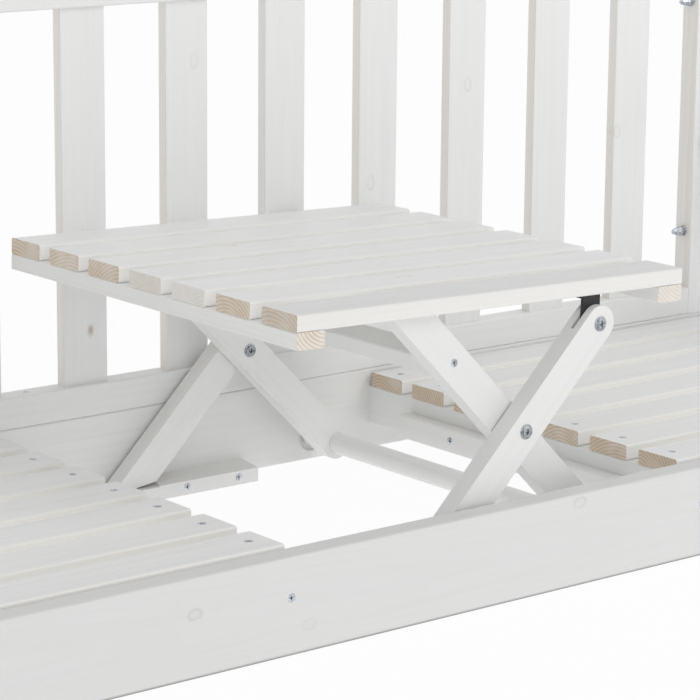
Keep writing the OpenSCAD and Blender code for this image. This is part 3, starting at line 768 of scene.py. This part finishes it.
def model_wood_screw(length, head_radius, shank_radius):
    """A countersunk screw whose head is flush at the origin and whose shank points down."""
    settings = bpy.context.scene.swing_fasteners
    cone = head_radius - shank_radius
    land = 0.0003
    smooth_end = -cone - (length - cone) * 0.30
    tip = 0.0025
    core = shank_radius * 0.78
    piece = round_bar("wood_screw", settings.sides, shank_radius, -cone, smooth_end)
    pick_cap(piece, -cone, 1)
    level = grow(cone - land, head_radius / shank_radius, -cone)
    grow(land * 0.5, 1.0, level)
    grow(land * 0.5, 1 - land / head_radius, level + land * 0.5)
    pick_cap(piece, smooth_end, -1)
    level = add_thread(smooth_end, -length + tip, shank_radius, core, settings.thread_pitch)
    grow(-tip, 0.15, level)
    bpy.ops.object.mode_set(mode="OBJECT")
    cut_cross_recess(piece, settings.recess_width * head_radius / 0.004, 0.0, head_radius * 0.45)
    smooth(piece)
    return piece


def model_pan_bolt(length, washer_radius, shank_radius):
    """A bolt with a washer and a domed head above z = 0, and its shank below."""
    settings = bpy.context.scene.swing_fasteners
    thick = settings.washer_thickness
    dome = settings.dome_width / 2
    steps = 5
    piece = round_bar("pan_bolt", 36, washer_radius, thick, 0)
    pick_cap(piece, thick, 1)
    bpy.ops.mesh.inset(thickness=washer_radius - dome, depth=0)
    level = grow(settings.dome_height * 0.35, 1.0, thick)
    cap = settings.dome_height * 0.65
    for step in range(steps):
        low, high = (math.pi / 2 * part / (steps + 1) for part in (step, step + 1))
        level = grow(cap * (math.sin(high) - math.sin(low)), math.cos(high) / math.cos(low), level)
    pick_cap(piece, 0, -1)
    bpy.ops.mesh.inset(thickness=washer_radius - shank_radius, depth=0)
    level = grow(-length * 0.5, 1.0, 0)
    tip = 0.001
    level = add_thread(level, -length + tip, shank_radius, shank_radius * 0.88, BOLT_THREAD_PITCH)
    grow(-tip, 0.85, level)
    bevel_edges(piece, lambda edge: (
        is_level(edge) and abs(edge.verts[0].co.z - thick) < LEVEL
        and from_axis(edge) > washer_radius * 0.99), thick * 0.4)
    cut_cross_recess(piece, dome * 1.45, thick + settings.dome_height, settings.dome_height * 1.3)
    smooth(piece)
    return piece


def model_eye_bolt(reach_in, reach_out, eye_radius, bar_radius, shank_radius):
    """An eye bolt along Z: the post's outer face is at z = 0, the eye above it, the thread below."""
    ring = eye_radius - bar_radius
    collar_radius, collar = shank_radius + 0.003, 0.003
    piece = round_bar("eye_bolt", 32, shank_radius, 0, -reach_in * 0.35)
    pick_cap(piece, 0, 1)
    level = grow(0, collar_radius / shank_radius, 0)
    level = grow(collar * 0.7, 1.0, level)
    level = grow(collar * 0.3, 0.9, level)
    level = grow(0, shank_radius * 0.8 / (collar_radius * 0.9), level)
    grow(bar_radius * 1.2, 1.0, level)
    pick_cap(piece, -reach_in * 0.35, -1)
    tip = 0.0012
    level = add_thread(
        -reach_in * 0.35, -reach_in + tip, shank_radius, shank_radius * 0.86, BOLT_THREAD_PITCH)
    grow(-tip, 0.8, level)
    bpy.ops.object.mode_set(mode="OBJECT")
    deselect()
    bpy.ops.mesh.primitive_torus_add(
        major_radius=ring, minor_radius=bar_radius, major_segments=56, minor_segments=18,
        location=(0, 0, reach_out - eye_radius), rotation=(math.pi / 2, 0, 0))
    eye = bpy.context.object
    bpy.ops.object.transform_apply()
    combine(piece, eye, "UNION")
    smooth(piece)
    return piece


def model_cap_nut(washer_radius, washer, flats, body, tip, bore):
    """A washer and a cap nut that stand on z = 0 and point up, bored for the bolt's thread."""
    corner = flats / 2 / math.cos(math.pi / 6)
    nut = round_bar("cap_nut", 6, corner, washer + body, washer)
    pick_cap(nut, washer + body, 1)
    bpy.ops.mesh.inset(thickness=flats * 0.06, depth=0)
    level = grow(tip * 0.22, 0.90, washer + body)
    for factor, share in ((0.92, 0.25), (0.84, 0.22), (0.68, 0.17), (0.45, 0.14)):
        level = grow(tip * share, factor, level)
    bevel_edges(nut, lambda edge: is_level(edge) and from_axis(edge) > corner * 0.99, flats * 0.03)
    ring = round_bar("washer", 40, washer_radius, washer, 0)
    bevel_edges(ring, is_level, washer * 0.22)
    for piece in (nut, ring):
        drill = round_bar("drill", 32, bore, washer + body, -washer)
        bpy.ops.object.mode_set(mode="OBJECT")
        combine(piece, drill, "DIFFERENCE")
    activate(nut, ring)
    bpy.ops.object.join()
    smooth(nut, math.radians(28))
    return nut


# ---- places of the fasteners ----


def solids_of(name):
    """The corners of each separate solid in a CAD node."""
    mesh = bmesh.new()
    mesh.from_mesh(FRAME["nodes"][name].data)
    bmesh.ops.remove_doubles(mesh, verts=mesh.verts, dist=WELD)
    mesh.verts.ensure_lookup_table()
    seen, solids = set(), []
    for start in mesh.verts:
        if start.index in seen:
            continue
        seen.add(start.index)
        waiting, corners = [start], []
        while waiting:
            corner = waiting.pop()
            corners.append(tuple(corner.co))
            for edge in corner.link_edges:
                other = edge.other_vert(corner)
                if other.index not in seen:
                    seen.add(other.index)
                    waiting.append(other)
        solids.append(np.array(corners))
    mesh.free()
    return solids


def pin_of(points):
    """The size and place of a round pin with a wider head."""
    axis = np.linalg.svd(points - points.mean(0), full_matrices=False)[2][0]
    height = points @ axis
    off_axis = points - np.outer(height, axis)
    centre = (off_axis.max(0) + off_axis.min(0)) / 2
    radius = np.linalg.norm(off_axis - centre, axis=1)
    span = height.max() - height.min()
    top = radius[height > height.max() - span * 0.02].max()
    bottom = radius[height < height.min() + span * 0.02].max()
    if top < bottom:
        axis, height, top, bottom = -axis, -height, bottom, top
    head = height[radius > bottom * 1.2]
    return Pin(Vector(centre + axis * height.max()), Vector(axis).normalized(), float(span),
               float(top), float(bottom), float(head.max() - head.min()))


def copy_to(pattern, place, direction):
    """A copy of the pattern with its own mesh, its Z turned to the direction, at the place."""
    made = pattern.copy()
    made.data = pattern.data.copy()
    bpy.context.scene.collection.objects.link(made)
    turn = ALONG_Z.rotation_difference(direction).to_matrix().to_4x4()
    made.data.transform(Matrix.Translation(place) @ turn)
    return made


def hand_over(copies, node, body, *materials):
    """Joins the copies to one piece that stands for the CAD node and rides on its body."""
    for piece in copies:
        set_materials(piece, *materials)
    activate(*copies)
    bpy.ops.object.join()
    piece = copies[0]
    piece.name = "fitted_" + node
    piece.data.name = piece.name
    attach(piece, body)
    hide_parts(node)


def fit_fasteners(node, body, model, dark=1.0, proud=False):
    """Puts a modelled fastener, whose head may stand proud, in place of each solid of a CAD node."""
    patterns, copies = {}, []
    for points in solids_of(node):
        pin = pin_of(points)
        above = pin.head_height if proud else 0
        key = round(pin.length, 4)
        if key not in patterns:
            patterns[key] = model(pin.length - above, pin.head_radius, pin.tip_radius)
        copies.append(copy_to(patterns[key], pin.head - pin.out * above, pin.out))
    for pattern in patterns.values():
        bpy.data.objects.remove(pattern)
    hand_over(copies, node, body, zinc("zinc_" + node, dark), painted_recess_shade("recess_" + node))


def fit_post_fasteners(node, face, outward, model):
    """Puts a modelled fastener at the face of a post in place of each solid of a CAD node."""
    copies, pattern = [], None
    for points in solids_of(node):
        low, high = points.min(0), points.max(0)
        side = ALONG_X if high[0] > 0 else -ALONG_X
        near, far = sorted((abs(low[0]), abs(high[0])))
        if pattern is None:
            pattern = model(near, far, high - low)
        middle = Vector((0, *((low + high) / 2)[1:]))
        copies.append(copy_to(pattern, middle + side * face, side * outward))
    bpy.data.objects.remove(pattern)
    hand_over(copies, node, "frame", zinc("zinc_" + node))


# ---- operators ----


class SWING_OT_glaze_frame(bpy.types.Operator):
    """Glaze the aprons, end boards, gap beams, ledges and foot rests"""

    bl_idname = "swing.glaze_frame"
    bl_label = "Glaze the frame"

    def execute(self, context):
        # The front apron is darkened all over by painted shade and has a painted dark line along its
        # bottom edge
        glaze("front_apron", ALONG_X, ALONG_Z, loose=0, knots=APRON_KNOTS, edges=0.30, sides=0.0,
              grey=0.10, foot_shade=0.85, painted_shade_factor=0.83)
        glaze("rear_apron", ALONG_X, ALONG_Z)
        for side in ("left", "right"):
            glaze("end_board_" + side, ALONG_Y, ALONG_Z)
            glaze("gap_beam_" + side, ALONG_Y, ALONG_Z)
            glaze("ledge_" + side, ALONG_Y, ALONG_Z, ends=0.2)
        for side in ("front", "rear"):
            glaze("foot_rest_" + side, ALONG_X, ALONG_Z, ends=0.55, loose=0)
        return {"FINISHED"}


class SWING_OT_glaze_seats(bpy.types.Operator):
    """Glaze the slats of both seats"""

    bl_idname = "swing.glaze_seats"
    bl_label = "Glaze the seats"

    def execute(self, context):
        for number in range(1, SLATS_PER_SEAT + 1):
            glaze(f"seat_slat_left_{number}", ALONG_X, ALONG_Y, ends=0.15, edges=0.05, **SLAT_GLAZE)
            glaze(f"seat_slat_right_{number}", ALONG_X, ALONG_Y, ends=0.90, end_rings=0.15, edges=0.05,
                  **SLAT_GLAZE)
        return {"FINISHED"}


class SWING_OT_glaze_back(bpy.types.Operator):
    """Glaze the back's rails, slats and posts, and the arms"""

    bl_idname = "swing.glaze_back"
    bl_label = "Glaze the back and arms"

    def execute(self, context):
        glaze("back_lower_rail", ALONG_X, ALONG_Z)
        glaze("back_upper_rail", ALONG_X, ALONG_Z)
        glaze("back_slats", ALONG_Z, ALONG_X, knots=BACK_KNOTS, dark_knots=BACK_DARK_KNOTS, loose=0,
              pitch=BACK_SLAT_PITCH, width=BACK_SLAT_WIDTH, sides=0.20)
        for side in ("left", "right"):
            glaze("back_post_" + side, ALONG_Z, ALONG_X, sides=0.16)
            glaze("arm_post_" + side, ALONG_Z, ALONG_X)
            glaze("arm_rest_" + side, ALONG_Y, ALONG_X)
        return {"FINISHED"}


class SWING_OT_glaze_legs(bpy.types.Operator):
    """Glaze the crossed legs, the rail between them and the dowel they turn on"""

    bl_idname = "swing.glaze_legs"
    bl_label = "Glaze the legs"

    def execute(self, context):
        pivots = {joint["name"]: Vector(joint["pos_m"]) for joint in FRAME["joints"]}
        inner = (pivots["leg_crossing"] - pivots["table_fold"]).normalized()
        outer = (pivots["table_hinge"] - pivots["leg_crossing"]).normalized()
        for side, painted_shade_factor in LEG_PAINTED_SHADE.items():
            for leg, way in (("inner_leg_", inner), ("outer_leg_", outer)):
                glaze(leg + side, way, way.cross(ALONG_Y), ends=0.3, edges=0.15, loose=0, painted_shade_factor=painted_shade_factor)
        # The rail under the table is darkened by painted shade
        glaze("inner_cross_rail", ALONG_Y, inner, edges=0.5, loose=0, painted_shade_factor=0.85)
        glaze("pivot_dowel", ALONG_Y, ALONG_X, edges=0, loose=0)
        return {"FINISHED"}


class SWING_OT_glaze_table(bpy.types.Operator):
    """Glaze the table's slats and battens"""

    bl_idname = "swing.glaze_table"
    bl_label = "Glaze the table"

    def execute(self, context):
        # The front slat is darkened all over by painted shade
        for number, ends in enumerate(TABLE_ENDS, 1):
            glaze(f"table_slat_{number}", ALONG_X, ALONG_Y, ends=ends, end_rings=0.12, edges=0.05,
                  sides=0.0, cream=0.7, grey=0.30, painted_shade_factor=0.90 if number == 1 else 1.0)
        glaze("table_batten_left", ALONG_Y, ALONG_X, ends=0.85, end_rings=0.40, loose=0)
        glaze("table_batten_right", ALONG_Y, ALONG_X, ends=0.50, end_rings=0.20, loose=0)
        return {"FINISHED"}


class SWING_OT_paint_plates(bpy.types.Operator):
    """Paint the hinge plates black"""

    bl_idname = "swing.paint_plates"
    bl_label = "Paint the hinge plates"

    def execute(self, context):
        for side in ("front", "rear"):
            set_materials(FRAME["nodes"]["hinge_plate_" + side], plate_paint("black_paint_" + side))
        return {"FINISHED"}


class SWING_OT_fit_screws(bpy.types.Operator):
    """Fit countersunk screws with cross recesses in place of the plain ones"""

    bl_idname = "swing.fit_screws"
    bl_label = "Fit the wood screws"

    def execute(self, context):
        for node, body in (("seat_screws", "frame"), ("frame_screws", "frame"),
                           ("inner_frame_screws", "inner_frame"), ("table_screws", "table")):
            fit_fasteners(node, body, model_wood_screw)
        return {"FINISHED"}


class SWING_OT_fit_pivots(bpy.types.Operator):
    """Fit the bolts that the legs cross on and the pins that carry the table"""

    bl_idname = "swing.fit_pivots"
    bl_label = "Fit the pivots"

    def execute(self, context):
        for node, body in (("crossing_bolts", "inner_frame"), ("hinge_pins", "outer_frame")):
            fit_fasteners(node, body, model_pan_bolt, dark=0.72, proud=True)
        return {"FINISHED"}


class SWING_OT_fit_eyes(bpy.types.Operator):
    """Fit round eye bolts, which the chains hang from"""

    bl_idname = "swing.fit_eyes"
    bl_label = "Fit the eye bolts"

    def execute(self, context):
        post_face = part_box("back_post_right")[1].x
        bar_radius, shank_radius = 0.0025, 0.003
        fit_post_fasteners("eye_bolts", post_face, 1, lambda near, far, spans: model_eye_bolt(
            post_face - near, far - post_face, spans[2] / 2, bar_radius, shank_radius))
        return {"FINISHED"}


class SWING_OT_fit_nuts(bpy.types.Operator):
    """Fit cap nuts with washers on the inner faces of the posts"""

    bl_idname = "swing.fit_nuts"
    bl_label = "Fit the cap nuts"

    def execute(self, context):
        washer_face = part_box("back_post_right")[0].x
        washer, flats, body, bore = 0.0016, 0.010, 0.006, 0.00305
        fit_post_fasteners("cap_nuts", washer_face, -1, lambda near, far, spans: model_cap_nut(
            spans[1] / 2, washer, flats, body, washer_face - near - washer - body, bore))
        return {"FINISHED"}


# ---- studio ----


def seen_directly(tree):
    """One where the camera, a mirror or glass sees the surface, else zero."""
    path = tree.nodes.new("ShaderNodeLightPath").outputs
    seen = calculate(tree, "MAXIMUM", path["Is Camera Ray"], path["Is Glossy Ray"])
    return calculate(tree, "MAXIMUM", seen, path["Is Transmission Ray"])


def floor_material(settings):
    """A pale floor that looks white to the camera and keeps a part of the shadows."""
    material, tree, _ = new_material("studio_floor")
    tree.nodes.clear()
    pale = add_node(tree, "ShaderNodeBsdfDiffuse", color=tuple(settings.floor_colour))
    white = add_node(tree, "ShaderNodeEmission", color=WHITE, strength=1.0)
    seen = seen_directly(tree)
    both = tree.nodes.new("ShaderNodeMixShader")
    connect(tree, product(tree, seen, settings.floor_white), both.inputs[0])
    connect(tree, pale.outputs[0], both.inputs[1])
    connect(tree, white.outputs[0], both.inputs[2])
    unseen = calculate(tree, "SUBTRACT", 1.0, seen)
    glow = add_node(tree, "ShaderNodeEmission", color=WHITE,
                    strength=product(tree, unseen, settings.floor_glow))
    lit = tree.nodes.new("ShaderNodeAddShader")
    connect(tree, both.outputs[0], lit.inputs[0])
    connect(tree, glow.outputs[0], lit.inputs[1])
    add_node(tree, "ShaderNodeOutputMaterial", surface=lit.outputs[0])
    return material


def studio_world(settings):
    """White to the camera, and a soft light on the seat."""
    world = bpy.data.worlds.new("studio_world")
    world.use_nodes = True
    tree = world.node_tree
    light = tree.nodes["Background"]
    light.inputs["Color"].default_value = WHITE
    direction = tree.nodes.new("ShaderNodeTexCoord").outputs["Generated"]
    height = add_node(tree, "ShaderNodeSeparateXYZ", vector=direction).outputs[2]
    soft = smooth_range(tree, height, 0.10, 0.85, settings.horizon_light, settings.zenith_light)
    strength = calculate(tree, "MAXIMUM", seen_directly(tree), soft)
    connect(tree, strength, light.inputs["Strength"])
    bpy.context.scene.world = world


def area_lamp(name, place, size, power):
    """A large square lamp that looks at the seat."""
    data = bpy.data.lights.new(name, "AREA")
    data.shape = "SQUARE"
    data.size = size
    data.energy = power
    lamp = bpy.data.objects.new(name, data)
    lamp.location = place
    lamp.rotation_euler = (LOOK_AT - Vector(place)).to_track_quat("-Z", "Y").to_euler()
    bpy.context.scene.collection.objects.link(lamp)


class SWING_OT_set_studio(bpy.types.Operator):
    """Set the floor, the lamps and the camera"""

    bl_idname = "swing.set_studio"
    bl_label = "Set the studio"

    def execute(self, context):
        settings = context.scene.swing_studio
        deselect()
        bpy.ops.mesh.primitive_plane_add(size=FLOOR_SIZE, location=(0, 0, 0))
        floor = context.object
        floor.name = "studio_floor"
        floor.data.materials.append(floor_material(settings))
        studio_world(settings)
        area_lamp("front_lamp", FRONT_LAMP, FRONT_LAMP_SIZE, settings.front_power)
        area_lamp("left_lamp", LEFT_LAMP, LEFT_LAMP_SIZE, settings.left_power)
        data = bpy.data.cameras.new("studio_camera")
        data.lens = settings.lens
        data.sensor_width = SENSOR_WIDTH
        camera = bpy.data.objects.new("studio_camera", data)
        turn = (Matrix.Rotation(settings.azimuth, 4, "Z")
                @ Matrix.Rotation(math.pi / 2 - settings.elevation, 4, "X")
                @ Matrix.Rotation(settings.roll, 4, "Z"))
        camera.matrix_world = Matrix.Translation(settings.camera_place) @ turn
        context.scene.collection.objects.link(camera)
        context.scene.camera = camera
        context.scene.view_settings.view_transform = "Standard"
        return {"FINISHED"}


class SWING_PT_panel(bpy.types.Panel):
    """Everything that dresses the swing seat"""

    bl_idname = "SWING_PT_panel"
    bl_label = "Swing seat"
    bl_space_type = "VIEW_3D"
    bl_region_type = "UI"
    bl_category = "Swing Seat"

    def draw(self, context):
        for group in ("swing_pine", "swing_fasteners", "swing_studio"):
            settings = getattr(context.scene, group)
            box = self.layout.box()
            for name in settings.bl_rna.properties.keys():
                if name not in ("rna_type", "name"):
                    box.prop(settings, name)
        for step in STEPS:
            self.layout.operator(step.bl_idname)


STEPS = (
    SWING_OT_glaze_frame, SWING_OT_glaze_seats, SWING_OT_glaze_back, SWING_OT_glaze_legs,
    SWING_OT_glaze_table, SWING_OT_paint_plates, SWING_OT_fit_screws, SWING_OT_fit_pivots,
    SWING_OT_fit_eyes, SWING_OT_fit_nuts, SWING_OT_set_studio,
)
CLASSES = (PineSettings, FastenerSettings, StudioSettings, *STEPS, SWING_PT_panel)


def register():
    """Registers the classes and the settings."""
    for each in CLASSES:
        bpy.utils.register_class(each)
    bpy.types.Scene.swing_pine = PointerProperty(type=PineSettings)
    bpy.types.Scene.swing_fasteners = PointerProperty(type=FastenerSettings)
    bpy.types.Scene.swing_studio = PointerProperty(type=StudioSettings)


def unregister():
    """Takes the settings and the classes away again."""
    del bpy.types.Scene.swing_studio
    del bpy.types.Scene.swing_fasteners
    del bpy.types.Scene.swing_pine
    for each in reversed(CLASSES):
        bpy.utils.unregister_class(each)


def main():
    """Dresses the seat and sets the studio."""
    register()
    for step in STEPS:
        group, name = step.bl_idname.split(".")
        getattr(getattr(bpy.ops, group), name)()


if __name__ == "__main__":
    main()
